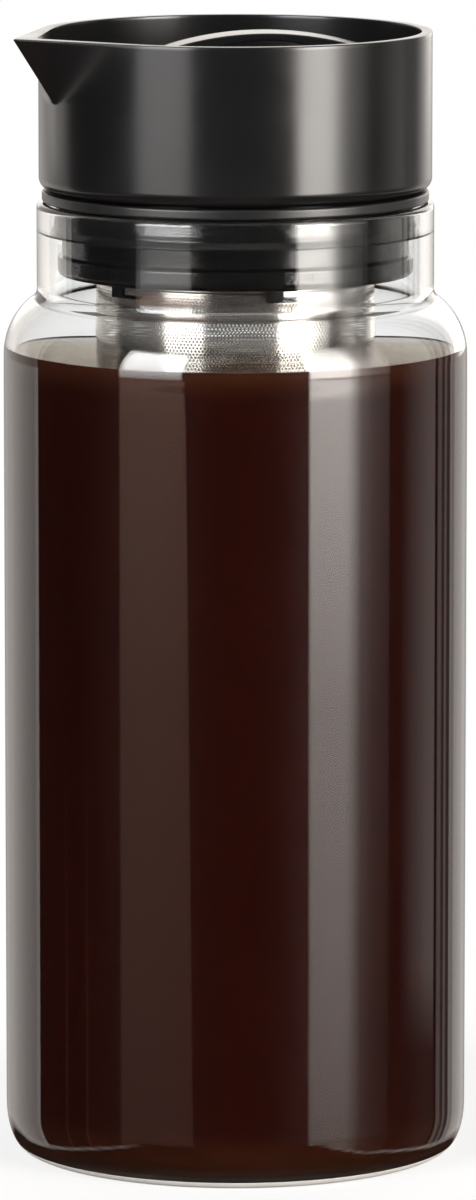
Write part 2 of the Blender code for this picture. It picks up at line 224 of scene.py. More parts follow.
# Fineness
wide_steps = 256
narrow_steps = 192
pin_steps = 96
bore_steps = 64
curve_steps = 24
bridge_steps = 36
collar_rows = 24
support_distance = 0.00012
merge_distance = 0.000004
on_axis_radius = 1e-9

# Camera
camera_distance = 1.8850
camera_height = 0.4160
camera_azimuth = -25.0
camera_pitch = 8.781
camera_aside = 0.00058
camera_lens = 253.94
camera_sensor = 36.0

# Colours and looks
neutral = (1.0, 1.0, 1.0)
warm = (1.0, 0.95, 0.90)
amber = (1.0, 0.66, 0.50)
cream = (1.0, 0.90, 0.76)
glass_ior = 1.47
coffee_ior = 1.34
coffee_dark = (0.018, 0.0020, 0.0008)
coffee_middle = (0.019, 0.0016, 0.0007)
coffee_brown = (0.021, 0.0026, 0.0012)
# Painted light: a lighter brown painted on the coffee's side near its top and near its foot, where light
# gets into it
coffee_painted_light = (0.042, 0.0120, 0.0052)
# Painted reflection: the open surface's light tan stands in for the light it reflects
coffee_top_painted_light = (0.075, 0.034, 0.014)
coffee_lit_depth = 0.0065
coffee_lit_rise = 0.0005
coffee_foot_lit = 0.0050
coffee_foot_dark = 0.0140
coffee_foot_share = 0.8
hole_softness = 0.05
# Keeps the count of the holes' cells above zero
cells_before = 100.0
noise_low = 0.3
noise_high = 0.7


# Materials

def new_material(name, colour, roughness, metallic=0.0, specular=0.5):
    made = bpy.data.materials.new(name)
    made.use_nodes = True
    shader = made.node_tree.nodes["Principled BSDF"]
    shader.inputs["Base Color"].default_value = (*colour, 1.0)
    shader.inputs["Roughness"].default_value = roughness
    shader.inputs["Metallic"].default_value = metallic
    shader.inputs["Specular IOR Level"].default_value = specular
    return made, made.node_tree, shader


def add_node(tree, kind, inputs=None, **settings):
    """A node with its settings. Each input has a plain value or comes from another node."""
    node = tree.nodes.new(kind)
    for name, value in settings.items():
        setattr(node, name, value)
    for key, value in (inputs or {}).items():
        if isinstance(value, bpy.types.NodeSocket):
            tree.links.new(value, node.inputs[key])
        else:
            node.inputs[key].default_value = value
    return node


def maths(tree, operation, *values):
    return add_node(tree, "ShaderNodeMath", dict(enumerate(values)), operation=operation).outputs[0]


def map_range(tree, value, low, high, to_low=0.0, to_high=1.0, smooth=True):
    ends = {"Value": value, "From Min": low, "From Max": high, "To Min": to_low, "To Max": to_high}
    curve = "SMOOTHSTEP" if smooth else "LINEAR"
    return add_node(tree, "ShaderNodeMapRange", ends, interpolation_type=curve).outputs["Result"]


def object_coordinates(tree):
    return tree.nodes.new("ShaderNodeTexCoord").outputs["Object"]


def axes(tree, vector):
    return add_node(tree, "ShaderNodeSeparateXYZ", {0: vector}).outputs


def add_bump(tree, shader, height, distance, strength=1.0):
    inputs = {"Height": height, "Distance": distance, "Strength": strength}
    bump = add_node(tree, "ShaderNodeBump", inputs)
    tree.links.new(bump.outputs["Normal"], shader.inputs["Normal"])


def noise(tree, coordinates, scale, detail=2.0, roughness=0.5):
    inputs = {"Vector": coordinates, "Scale": scale, "Detail": detail, "Roughness": roughness}
    return add_node(tree, "ShaderNodeTexNoise", inputs).outputs["Fac"]


def colour_between(tree, factor, first, second):
    """A mix of two colours. Each is a plain colour or comes from another node."""
    inputs = {"Factor": factor, "A": first, "B": second}
    for side in ("A", "B"):
        if isinstance(inputs[side], tuple):
            inputs[side] = (*inputs[side], 1.0)
    return add_node(tree, "ShaderNodeMix", inputs, data_type="RGBA").outputs["Result"]


def vary_roughness(tree, shader, pattern, middle, spread):
    """Roughness that wanders with a noise to both sides of its middle value."""
    level = map_range(tree, pattern, noise_low, noise_high, middle - spread, middle + spread)
    tree.links.new(level, shader.inputs["Roughness"])


def moulded_plastic(name, colour, paler, roughness, grain_scale, grain_depth):
    """Black moulded plastic: a fine sprayed grain and slow changes in sheen."""
    made, tree, shader = new_material(name, colour, roughness)
    spot = object_coordinates(tree)
    grain = noise(tree, spot, scale=grain_scale, detail=3.0, roughness=0.6)
    slow = noise(tree, spot, scale=60.0)
    tree.links.new(colour_between(tree, slow, colour, paler), shader.inputs["Base Color"])
    vary_roughness(tree, shader, slow, roughness, spread=0.02)
    add_bump(tree, shader, grain, distance=grain_depth)
    return made


def rubber(name, colour, roughness):
    """Silicone: a soft dull surface with faint moulding waves."""
    made, tree, shader = new_material(name, colour, roughness)
    spot = object_coordinates(tree)
    fine = noise(tree, spot, scale=1800.0)
    slow = noise(tree, spot, scale=140.0)
    vary_roughness(tree, shader, slow, roughness, spread=0.04)
    add_bump(tree, shader, fine, distance=0.000006)
    return made


def clear_glass():
    made, tree, shader = new_material("clear_glass", (0.985, 0.992, 0.988), roughness=0.0)
    shader.inputs["Transmission Weight"].default_value = 1.0
    shader.inputs["IOR"].default_value = glass_ior
    slow = noise(tree, object_coordinates(tree), scale=22.0, detail=1.0)
    add_bump(tree, shader, slow, distance=0.00003, strength=0.25)
    return made


def foot_painted_light():
    """Painted light: a pale, rough, half-clear ring on the edge that the carafe stands on, standing in for
    the white table seen through the foot.
    """
    made, tree, shader = new_material("foot_painted_light", (0.88, 0.88, 0.85), roughness=0.45)
    shader.inputs["Transmission Weight"].default_value = 0.35
    shader.inputs["IOR"].default_value = glass_ior
    fine = noise(tree, object_coordinates(tree), scale=900.0)
    add_bump(tree, shader, fine, distance=0.00001)
    return made


def coffee_materials():
    """Dark liquid: its side as seen through the glass, with painted light that turns it lighter brown near
    its top and near its foot, and its glossy open surface, painted a light tan that stands in for the light
    it reflects.
    """
    side, tree, shader = new_material("coffee_side", coffee_middle, roughness=0.3, specular=0.05)
    spot = object_coordinates(tree)
    height = axes(tree, spot)["Z"]
    # Painted light: the side turns lighter brown near the top and near the foot, standing in for light that
    # gets in there
    near_top = map_range(tree, height, coffee_level - coffee_lit_depth, coffee_level + coffee_lit_rise)
    near_foot = map_range(tree, height, coffee_foot_dark, coffee_foot_lit, 0.0, coffee_foot_share)
    lit = maths(tree, "MAXIMUM", near_top, near_foot)
    deep = colour_between(tree, noise(tree, spot, scale=18.0), coffee_dark, coffee_brown)
    tree.links.new(colour_between(tree, lit, deep, coffee_painted_light), shader.inputs["Base Color"])
    # Painted reflection: the open surface is a light tan with almost no specular, its colour standing in
    # for the light it reflects
    top, tree, shader = new_material("coffee_surface", coffee_top_painted_light, roughness=0.02, specular=0.014)
    shader.inputs["IOR"].default_value = coffee_ior
    ripple = noise(tree, object_coordinates(tree), scale=45.0, detail=1.0)
    add_bump(tree, shader, ripple, distance=0.0003, strength=0.2)
    return side, top


def polar(tree, spot, radius):
    """Distance round a cylinder of the given radius, and height."""
    place = axes(tree, spot)
    turn = maths(tree, "ARCTAN2", place["Y"], place["X"])
    return maths(tree, "MULTIPLY", turn, radius), place["Z"]


def from_middle(tree, distance, step, shift):
    """How far a place lies from the middle of its cell, in cells."""
    cells = maths(tree, "ADD", maths(tree, "DIVIDE", distance, step), shift + cells_before)
    return maths(tree, "SUBTRACT", maths(tree, "FRACT", cells), 0.5)


def hole_distance(tree, along, up, pitch):
    """Distance, in pitches, to the nearest hole of a staggered pattern."""
    stretch = math.sqrt(3.0)
    distances = []
    for shift in (0.0, 0.5):
        across = from_middle(tree, along, pitch, shift)
        above = maths(tree, "MULTIPLY", from_middle(tree, up, pitch * stretch, shift), stretch)
        squares = [maths(tree, "MULTIPLY", way, way) for way in (across, above)]
        distances.append(maths(tree, "SQRT", maths(tree, "ADD", *squares)))
    return maths(tree, "MINIMUM", *distances)


def steel(name, roughness, perforated=False):
    """Stainless steel with a fine rolled grain, and for the tube a staggered pattern of etched holes."""
    metallic = 0.9 if perforated else 1.0
    made, tree, shader = new_material(name, (0.62, 0.60, 0.57), roughness, metallic)
    spot = object_coordinates(tree)
    grain = noise(tree, spot, scale=4000.0, detail=3.0)
    vary_roughness(tree, shader, grain, roughness, spread=0.03)
    shade = colour_between(tree, grain, (0.61, 0.59, 0.56), (0.66, 0.64, 0.61))
    tree.links.new(shade, shader.inputs["Base Color"])
    if not perforated:
        add_bump(tree, shader, grain, distance=0.000004)
        return made
    around = round(math.tau * filter_radius / hole_pitch)
    pitch = math.tau * filter_radius / around
    along, up = polar(tree, spot, filter_radius)
    distance = hole_distance(tree, along, up, pitch)
    edge = hole_radius / pitch
    land = map_range(tree, distance, edge - hole_softness, edge + hole_softness)
    top = filter_tube_top - plain_below_top
    foot = filter_tube_bottom + plain_above_foot
    plain_top = map_range(tree, up, top - plain_softness, top + plain_softness)
    plain_foot = map_range(tree, up, foot + plain_softness, foot - plain_softness)
    land = maths(tree, "MAXIMUM", land, maths(tree, "MAXIMUM", plain_top, plain_foot))
    tree.links.new(land, shader.inputs["Alpha"])
    return made


# Shapes

def new_object(name, data):
    made = bpy.data.objects.new(name, data)
    bpy.context.scene.collection.objects.link(made)
    return made


def link(name, mesh, materials, body, nodes=(), smooth_angle=30.0):
    for material in materials:
        mesh.materials.append(material)
    mesh.shade_smooth()
    mesh.set_sharp_from_angle(angle=math.radians(smooth_angle))
    piece = new_object(name, mesh)
    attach(piece, body)
    if nodes:
        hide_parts(*nodes)
    return piece


def arc(middle, radius, start, end, count):
    points = []
    for index in range(count + 1):
        turn = math.radians(start + (end - start) * index / count)
        points.append((middle[0] + radius * math.cos(turn), middle[1] + radius * math.sin(turn)))
    return points


def rounded(*corners, closed=True, segments=5):
    """Outline from corners (radius, height, round), each corner with its own round."""
    points = []
    count = len(corners)
    for index, (out, up, size) in enumerate(corners):
        end = not closed and index in (0, count - 1)
        if size <= 0.0 or end:
            points.append((out, up))
            continue
        before = corners[index - 1]
        after = corners[(index + 1) % count]
        to_before = (before[0] - out, before[1] - up)
        to_after = (after[0] - out, after[1] - up)
        length_a = math.hypot(*to_before)
        length_b = math.hypot(*to_after)
        unit_a = (to_before[0] / length_a, to_before[1] / length_a)
        unit_b = (to_after[0] / length_b, to_after[1] / length_b)
        angle = math.acos(max(-1.0, min(1.0, unit_a[0] * unit_b[0] + unit_a[1] * unit_b[1])))
        reach = min(size / math.tan(angle / 2), length_a * round_limit, length_b * round_limit)
        radius = reach * math.tan(angle / 2)
        middle_way = (unit_a[0] + unit_b[0], unit_a[1] + unit_b[1])
        scale = radius / math.sin(angle / 2) / math.hypot(*middle_way)
        middle = (out + middle_way[0] * scale, up + middle_way[1] * scale)
        start = math.atan2(up + unit_a[1] * reach - middle[1], out + unit_a[0] * reach - middle[0])
        finish = math.atan2(up + unit_b[1] * reach - middle[1], out + unit_b[0] * reach - middle[0])
        sweep = (finish - start + math.pi) % math.tau - math.pi
        for step in range(segments + 1):
            turn = start + sweep * step / segments
            points.append((middle[0] + radius * math.cos(turn), middle[1] + radius * math.sin(turn)))
    return points


def supported(points, closed):
    """Extra points beside the ends of long straight runs, so that they shade flat."""
    result = []
    count = len(points)
    for index, point in enumerate(points):
        result.append(point)
        if index == count - 1 and not closed:
            break
        after = points[(index + 1) % count]
        run = (after[0] - point[0], after[1] - point[1])
        length = math.hypot(*run)
        if length > 4 * support_distance:
            near = support_distance / length
            result += [(point[0] + run[0] * share, point[1] + run[1] * share) for share in (near, 1 - near)]
    return result


def finished_mesh(name, built):
    mesh = bpy.data.meshes.new(name)
    built.to_mesh(mesh)
    built.free()
    return mesh


def join_rows(built, row, after):
    """Faces between two rows of points that close on themselves."""
    for index in range(len(row)):
        beside = (index + 1) % len(row)
        built.faces.new((row[index], after[index], after[beside], row[beside]))


def lathe_mesh(name, outline, steps, material_of=None):
    """Turn an outline about Z. One that starts and ends on the axis closes there."""
    on_axis = max(abs(outline[0][0]), abs(outline[-1][0])) < on_axis_radius
    outline = supported(outline, not on_axis)
    built = bmesh.new()
    rings = []
    for out, up in outline:
        if abs(out) < on_axis_radius:
            rings.append([built.verts.new((0.0, 0.0, up))])
            continue
        ring = []
        for index in range(steps):
            turn = math.tau * index / steps
            ring.append(built.verts.new((out * math.cos(turn), out * math.sin(turn), up)))
        rings.append(ring)
    pairs = list(zip(rings, rings[1:]))
    if not on_axis:
        pairs.append((rings[-1], rings[0]))
    for level, (row, after) in enumerate(pairs):
        for index in range(steps):
            beside = (index + 1) % steps
            if len(row) == 1 and len(after) == 1:
                continue
            if len(row) == 1:
                corners = (row[0], after[index], after[beside])
            elif len(after) == 1:
                corners = (row[index], after[0], row[beside])
            else:
                corners = (row[index], after[index], after[beside], row[beside])
            face = built.faces.new(corners)
            if material_of is not None:
                face.material_index = material_of(outline[level], outline[(level + 1) % len(outline)])
    bmesh.ops.recalc_face_normals(built, faces=built.faces)
    return finished_mesh(name, built)


def add_swept(built, profile, middle_angle, width_angle, count):
    """One closed block: an outline in (radius, height) swept over a span of degrees."""
    rows = []
    for index in range(count + 1):
        turn = math.radians(middle_angle - width_angle / 2 + width_angle * index / count)
        rows.append([built.verts.new((r * math.cos(turn), r * math.sin(turn), h)) for r, h in profile])
    for row, after in zip(rows, rows[1:]):
        join_rows(built, row, after)
    built.faces.new(rows[0])
    built.faces.new(rows[-1])


def block_profile(inner, outer, bottom, top):
    return [(inner, bottom), (outer, bottom), (outer, top), (inner, top)]


def boolean_with(piece_mesh, built, operation):
    """The mesh with a guide shape cut from it or joined to it."""
    bmesh.ops.recalc_face_normals(built, faces=built.faces)
    guide_mesh = finished_mesh("guide", built)
    guide = new_object("guide", guide_mesh)
    subject = new_object("subject", piece_mesh)
    change = subject.modifiers.new("change", "BOOLEAN")
    change.object = guide
    change.operation = operation
    change.solver = "EXACT"
    bpy.context.view_layer.update()
    evaluated = subject.evaluated_get(bpy.context.evaluated_depsgraph_get())
    made = bpy.data.meshes.new_from_object(evaluated)
    for thing in (guide, subject):
        bpy.data.objects.remove(thing)
    bpy.data.meshes.remove(guide_mesh)
    merged = bmesh.new()
    merged.from_mesh(made)
    bmesh.ops.remove_doubles(merged, verts=merged.verts, dist=merge_distance)
    bmesh.ops.dissolve_degenerate(merged, edges=merged.edges, dist=merge_distance)
    bmesh.ops.triangulate(merged, faces=[face for face in merged.faces if len(face.verts) > 4])
    merged.to_mesh(made)
    merged.free()
    return made


def cutter_cylinder(radius, bottom, top):
    built = bmesh.new()
    bmesh.ops.create_cone(
        built, cap_ends=True, segments=bore_steps, radius1=radius, radius2=radius, depth=top - bottom
    )
    bmesh.ops.translate(built, vec=(0.0, 0.0, (top + bottom) / 2), verts=built.verts)
    return built


def with_windows(mesh, angles, bottom, top):
    """The disc with its two windows and the bore for the pin cut through it."""
    low = bottom - overrun
    high = top + overrun
    built = bmesh.new()
    for angle in angles:
        profile = block_profile(window_inner_radius, window_outer_radius, low, high)
        add_swept(built, profile, angle, window_width, 28)
    mesh = boolean_with(mesh, built, "DIFFERENCE")
    return boolean_with(mesh, cutter_cylinder(pin_bore, low, high), "DIFFERENCE")


def bevel_edges(piece, width, segments=2, angle=50.0):
    edges = piece.modifiers.new("edges", "BEVEL")
    edges.width = width
    edges.segments = segments
    edges.limit_method = "ANGLE"
    edges.angle_limit = math.radians(angle)
    edges.harden_normals = True


# Carafe and coffee

def shoulder_arcs(neck, fillet, outer_radius):
    middle = (body_radius - shoulder_radius, shoulder_height)
    fillet_out = neck + fillet
    reach = outer_radius + fillet
    rise = math.sqrt(reach**2 - (fillet_out - middle[0]) ** 2)
    fillet_middle = (fillet_out, middle[1] + rise)
    turn = math.degrees(math.atan2(rise, fillet_out - middle[0]))
    points = arc(fillet_middle, fillet, 180.0, 180.0 + turn, 24)
    return points + arc(middle, outer_radius, turn, 0.0, 64)[1:]


def eased(point):
    """The outside drawn in a touch where the wall turns into the shoulder, so that it turns gently."""
    share = (point[1] - ease_bottom) / (ease_top - ease_bottom)
    if point[0] < neck_radius or not 0 < share < 1:
        return point
    return (point[0] - ease_depth * math.sin(math.pi * share) ** 2, point[1])


def foot_curve():
    points = []
    for index in range(curve_steps + 1):
        turn = math.pi / 2 * index / curve_steps
        inward = math.cos(turn) ** (2 / foot_power)
        down = math.sin(turn) ** (2 / foot_power)
        points.append((body_radius - foot_inset * (1 - inward), foot_rise * (1 - down)))
    points[-1] = (body_radius - foot_inset, 0.0)
    return points


def inner_wall(offset=0.0):
    """The carafe's hollow from the middle of its floor up to its neck, grown by an offset."""
    bore = neck_radius - neck_wall + offset
    inner_radius = body_radius - body_wall
    corner = (inner_radius - inner_corner, base_thickness + inner_corner)
    points = [(0.0, base_thickness - offset)]
    points += arc(corner, inner_corner + offset, -90.0, 0.0, 16)
    inner_round = shoulder_radius - body_wall + offset
    fillet = shoulder_fillet + neck_wall - offset
    points += shoulder_arcs(bore, fillet, inner_round)[::-1]
    return points


def build_carafe(glass, foot_painted_light_material):
    bore = neck_radius - neck_wall
    rim = glass_height - glass_round
    outline = inner_wall()
    outline += arc((bore + glass_round, rim), glass_round, 180.0, 90.0, 8)
    outline += arc((neck_radius - glass_round, rim), glass_round, 90.0, 0.0, 8)
    outline += shoulder_arcs(neck_radius, shoulder_fillet, shoulder_radius)
    outline += [(body_radius, shoulder_height - wall_row_height * step) for step in range(1, wall_rows + 1)]
    outline = [eased(point) for point in outline]
    outline += foot_curve()
    outline.append((0.0, 0.0))
    # Painted light: the foot's pale ring starts at this radius, below foot_ring_height
    foot_painted_light_from = body_radius - foot_ring_width

    def which(first, second):
        low = max(first[1], second[1]) < foot_ring_height
        return 1 if low and max(first[0], second[0]) > foot_painted_light_from else 0

    mesh = lathe_mesh("carafe_glass", outline, wide_steps, which)
    link("carafe_glass", mesh, [glass, foot_painted_light_material], "carafe", ["glass_carafe"])


def build_coffee(side, top):
    """One solid fill of the carafe's hollow, its edge drawn up a little where it wets the glass."""
    outline = [point for point in inner_wall(coffee_overlap) if point[1] < coffee_level]
    reach = shoulder_radius - body_wall + coffee_overlap
    middle = (body_radius - shoulder_radius, shoulder_height)

    def wall_radius(height):
        if height <= middle[1]:
            return body_radius - body_wall + coffee_overlap
        return middle[0] + math.sqrt(reach**2 - (height - middle[1]) ** 2)

    for height in (coffee_level, coffee_level + meniscus_rise / 2):
        outline.append((wall_radius(height), height))
    edge = wall_radius(coffee_level + meniscus_rise)
    for index in range(meniscus_steps + 1):
        share = index / meniscus_steps
        height = coffee_level + meniscus_rise * (1 - share) ** meniscus_power
        outline.append((edge - meniscus_width * share, height))
    outline.append((0.0, coffee_level))

    def which(first, second):
        flat = abs(first[1] - second[1]) < abs(first[0] - second[0]) * surface_slope
        return 1 if flat and min(first[1], second[1]) >= coffee_level - height_margin else 0

    mesh = lathe_mesh("coffee", outline, wide_steps, which)
    link("coffee", mesh, [side, top], "carafe", smooth_angle=40.0)


# Pouring stopper

def build_rim_gasket(silicone):
    inner = core_radius + fit_gap
    outline = rounded(
        (gasket_radius, gasket_top, gasket_bead),
        (gasket_radius, gasket_bottom, gasket_bead),
        (inner, gasket_bottom, small_round),
        (inner, gasket_top, small_round),
        segments=8,
    )
    mesh = lathe_mesh("gasket_ring", outline, wide_steps)
    link("gasket_ring", mesh, [silicone], "lid", ["rim_gasket"])


def spout_turns():
    """Angles round the collar, closer together over the spout."""
    shares = [index / wide_steps for index in range(wide_steps)]
    return [math.pi + math.tau * share - spout_crowding * math.sin(math.tau * share) for share in shares]


def spouted_ring(radius, reach, height):
    """A ring round the collar that runs out to a soft point over the spout."""
    points = []
    half = math.acos(radius / (radius + reach)) + spout_tip_softness if reach > 0 else 0.0
    for turn in spout_turns():
        away = abs(turn % math.tau - math.pi)
        near = math.sqrt(away**2 + spout_tip_softness**2)
        out = radius / math.cos(half - near) if near < half else radius
        points.append((out * math.cos(turn), out * math.sin(turn), height))
    return points


def build_collar(black):
    rings = []

    def ring(radius, height, reach=0.0):
        rings.append(spouted_ring(radius, reach, height))

    edge = collar_rim_round
    for step in range(5):
        turn = math.pi / 2 * step / 4
        shrink = edge * (1 - math.sin(turn))
        ring(collar_radius - shrink, collar_top - edge * (1 - math.cos(turn)), spout_reach)
    for index in range(1, collar_rows + 1):
        share = index / collar_rows
        ring(collar_radius, collar_top - edge - (spout_drop - edge) * share, spout_reach * (1 - share))
    foot_out = collar_radius - collar_foot_round
    foot_up = collar_bottom + collar_foot_round
    ring(collar_radius, foot_up + collar_support)
    for out, height in arc((foot_out, foot_up), collar_foot_round, 0.0, -90.0, 12):
        ring(out, height)
    hole = core_radius + fit_gap
    floor_up = collar_bottom + collar_floor
    floor_out = collar_bore - collar_floor_round
    ring(foot_out - collar_support, collar_bottom)
    ring(hole, collar_bottom)
    ring(hole, floor_up)
    ring(floor_out, floor_up)
    corner = (floor_out, floor_up + collar_floor_round)
    for out, height in arc(corner, collar_floor_round, -90.0, 0.0, 6)[1:]:
        ring(out, height)
    for index in range(collar_rows + 1):
        share = 1 - index / collar_rows
        height = collar_top - edge - (spout_channel_drop - edge) * share
        ring(collar_bore, height, spout_channel_reach * (1 - share))
    for step in range(1, 5):
        turn = math.pi / 2 * step / 4
        grow = edge * (1 - math.cos(turn))
        ring(collar_bore + grow, collar_top - edge * (1 - math.sin(turn)), spout_channel_reach)
    built = bmesh.new()
    rows = [[built.verts.new(point) for point in points] for points in rings]
    for row, after in zip(rows, rows[1:] + rows[:1]):
        join_rows(built, row, after)
    bmesh.ops.recalc_face_normals(built, faces=built.faces)
    mesh = finished_mesh("collar", built)
    link("collar", mesh, [black], "lid", ["pour_collar"], smooth_angle=35.0)


def build_core(black):
    web_radius = collar_bore - fit_gap
    outline = rounded(
        (0.0, web_top, 0.0),
        (web_radius, web_top, edge_round),
        (web_radius, web_bottom, edge_round),
        (core_radius, web_bottom, small_round),
        (core_radius, core_bottom, core_foot_round),
        (core_bore, core_bottom, edge_round),
        (core_bore, web_bottom, core_inner_round),
        (0.0, web_bottom, 0.0),
        closed=False,
    )
    mesh = lathe_mesh("core", outline, narrow_steps)
    mesh = with_windows(mesh, core_window_angles, web_bottom, web_top)
    link("core", mesh, [black], "lid", ["stopper_core"])


def build_stopper_seal(silicone):
    """Sleeve round the core, with the lip that wipes the neck's bore."""
    reach = neck_radius - neck_wall + lip_overlap
    lip_bottom = seal_bottom - lip_drop
    outline = rounded(
        (seal_radius - seal_taper, seal_top, edge_round),
        (seal_radius, seal_top - seal_taper_height, taper_round),
        (seal_radius, seal_bottom + lip_thickness, lip_round),
        (reach, lip_bottom + lip_thickness, tiny_round),
        (reach, lip_bottom + lip_edge, tiny_round),
        (seal_radius, seal_bottom, edge_round),
        (seal_bore, seal_bottom, small_round),
        (seal_bore, seal_top, small_round),
        segments=6,
    )
    mesh = lathe_mesh("seal_sleeve", outline, narrow_steps)
    link("seal_sleeve", mesh, [silicone], "lid", ["stopper_seal"])


def build_shutter_gasket(silicone):
    outline = rounded(
        (0.0, shutter_gasket_top, 0.0),
        (shutter_gasket_radius, shutter_gasket_top, small_round),
        (shutter_gasket_radius, shutter_gasket_bottom, small_round),
        (0.0, shutter_gasket_bottom, 0.0),
        closed=False,
    )
    mesh = lathe_mesh("shutter_disc", outline, narrow_steps)
    mesh = with_windows(mesh, core_window_angles, shutter_gasket_bottom, shutter_gasket_top)
    link("shutter_disc", mesh, [silicone], "lid", ["shutter_gasket"])


def build_cap(black):
    outline = rounded(
        (0.0, cap_top, 0.0),
        (cap_radius, cap_top, cap_edge_round),
        (cap_radius, cap_bottom, small_round),
        (0.0, cap_bottom, 0.0),
        closed=False,
        segments=6,
    )
    mesh = lathe_mesh("cap", outline, narrow_steps)
    mesh = with_windows(mesh, cap_window_angles, cap_bottom, cap_top)
    piece = link("cap", mesh, [black], "cap", ["shutter_cap"])
    bevel_edges(piece, cap_bevel)


def build_pin(black):
    height = pin_head_top - pin_head_bottom
    outline = [(0.0, pin_head_top)]
    for index in range(13):
        turn = math.pi / 2 * index / 12
        out = (pin_head_radius - height) + height * math.sin(turn)
        outline.append((out, pin_head_bottom + height * math.cos(turn)))
    outline += rounded(
        (pin_head_radius, pin_head_bottom, 0.0),
        (pin_radius, pin_head_bottom, small_round),
        (pin_radius, pin_barb_top, tiny_round),
        (pin_barb_radius, pin_barb_top, small_round),
        (pin_radius, pin_barb_bottom, edge_round),
        (0.0, pin_barb_bottom, 0.0),
        closed=False,
    )[1:]
    mesh = lathe_mesh("pin", outline, pin_steps)
    link("pin", mesh, [black], "lid", ["pivot_pin"])


def bridge_curve(crown, sag_radius, half_span, foot):
    """Half of the grip's arch: from its crown out to its bend and down to its foot."""
    flat = half_span - grip_corner_radius
    sag = sag_radius - math.sqrt(sag_radius**2 - flat**2)
    points = []
    for index in range(bridge_steps + 1):
        along = flat * index / bridge_steps
        points.append((along, crown - sag_radius + math.sqrt(sag_radius**2 - along**2)))
    slope = math.degrees(math.asin(flat / sag_radius))
    bend = arc((0.0, 0.0), grip_corner_radius, 90.0 - slope, 0.0, 16)
    shift = (flat, crown - sag - bend[0][1])
    points += [(shift[0] + out - bend[0][0], shift[1] + up) for out, up in bend[1:]]
    points.append((points[-1][0], foot))
    return points


def build_grip(black):
    """Arched strap over the cap, with rounded edges."""
    outer = bridge_curve(grip_crown, grip_top_radius, grip_half_span, grip_foot)
    inner = bridge_curve(
        grip_crown - grip_thickness, grip_gap_radius, grip_half_span - grip_leg, grip_foot
    )
    outline = [(-out, up) for out, up in outer[::-1]] + outer[1:]
    outline += inner[::-1] + [(-out, up) for out, up in inner[1:]]
    turn = math.radians(grip_angle)
    built = bmesh.new()
    for side in (-grip_width / 2, grip_width / 2):
        corners = []
        for along, up in outline:
            out = along + grip_offset
            spot = (
                out * math.cos(turn) - side * math.sin(turn),
                out * math.sin(turn) + side * math.cos(turn),
                up,
            )
            corners.append(built.verts.new(spot))
        built.faces.new(corners)
    built.verts.ensure_lookup_table()
    count = len(outline)
    for index in range(count):
        beside = (index + 1) % count
        built.faces.new([built.verts[spot] for spot in (index, beside, count + beside, count + index)])
    bmesh.ops.recalc_face_normals(built, faces=built.faces)
    mesh = finished_mesh("grip", built)
    piece = link("grip", mesh, [black], "cap", ["cap_grip"])
    bevel_edges(piece, grip_edge_round, 3, 60.0)


def build_carrier(black):
    outline = rounded(
        (0.0, carrier_web_top, 0.0),
        (spigot_bore, carrier_web_top, soft_round),
        (spigot_bore, spigot_top, edge_round),
        (spigot_radius, spigot_top, edge_round),
        (spigot_radius, carrier_top, small_round),
        (carrier_radius, carrier_top, edge_round),
        (carrier_radius, carrier_bottom, carrier_foot_round),
        (recess_radius, carrier_bottom, small_round),
        (recess_radius, recess_top, tiny_round),
        (0.0, recess_top, 0.0),
        closed=False,
        segments=7,
    )
    mesh = lathe_mesh("carrier", outline, narrow_steps)
    slots = bmesh.new()
    low = carrier_bottom - overrun
    profile = block_profile(flow_slot_inner, flow_slot_outer, low, carrier_web_top + overrun)
    for angle, width in flow_slot_spans:
        add_swept(slots, profile, angle, width, 30)
    mesh = boolean_with(mesh, slots, "DIFFERENCE")
    middle_radius = recess_radius + hook_depth / 2
    post_width = math.degrees(hook_post / middle_radius)
    slot_width = math.degrees(hook_slot / middle_radius)
    ledge_width = post_width / 2 + slot_width
    hook_foot = carrier_bottom - hook_drop
    outer = recess_radius + hook_depth
    post_profile = block_profile(recess_radius, outer, hook_foot, carrier_bottom + hook_sunk)
    ledge_profile = block_profile(
        recess_radius + ledge_inset, outer - ledge_inset, hook_foot + ledge_inset, hook_foot + hook_ledge
    )
    posts = bmesh.new()
    ledges = bmesh.new()
    for angle in hook_angles:
        start = angle - slot_width / 2
        add_swept(posts, post_profile, start, post_width, 4)
        add_swept(ledges, ledge_profile, start + ledge_width / 2, ledge_width, 8)
    mesh = boolean_with(mesh, posts, "UNION")
    mesh = boolean_with(mesh, ledges, "UNION")
    link("carrier", mesh, [black], "lid", ["filter_carrier"])


# Filter

def build_filter_seal(silicone):
    outer = filter_radius + fit_gap
    outline = rounded(
        (outer, filter_seal_top, edge_round),
        (outer, filter_seal_bottom, edge_round),
        (filter_seal_bore, filter_seal_bottom, edge_round),
        (filter_seal_bore, filter_seal_top, edge_round),
    )
    mesh = lathe_mesh("filter_ring_seal", outline, narrow_steps)
    link("filter_ring_seal", mesh, [silicone], "lid", ["filter_seal"])


